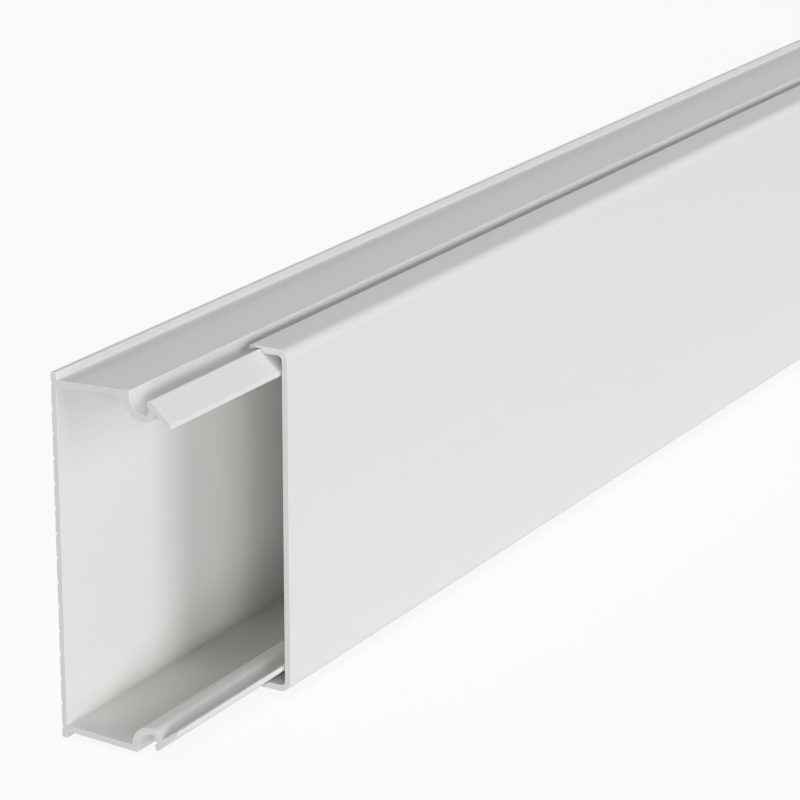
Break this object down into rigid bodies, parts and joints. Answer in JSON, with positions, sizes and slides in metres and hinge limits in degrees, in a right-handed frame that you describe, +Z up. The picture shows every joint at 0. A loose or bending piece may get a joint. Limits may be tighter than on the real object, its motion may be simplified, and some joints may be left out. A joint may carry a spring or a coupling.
{
  "type": "cable trunking",
  "caption": "Extruded white wall trunking for cables: a lipped base channel with snap gutters, and a hooked cover that snaps over its front and slides along it.",
  "frame": {"origin": "centre of the part's box, on the floor that it stands on", "axes": "+X along the length, from the end that the cover leaves open; +Y towards the wall behind the back plate; +Z up across the trunking's height"},
  "size_m": [2.0526, 0.0402, 0.1042],
  "materials": {
    "white_pvc": "smooth extruded white PVC with a soft satin surface"
  },
  "bodies": {
    "base": {"trunking_base": "white_pvc"},
    "cover": {"trunking_cover": "white_pvc"}
  },
  "joints": [
    {"name": "cover_slide", "type": "slide", "parent": "base", "child": "cover", "axis": [1, 0, 0], "range_m": [-0.0525, 0.4475]}
  ]
}
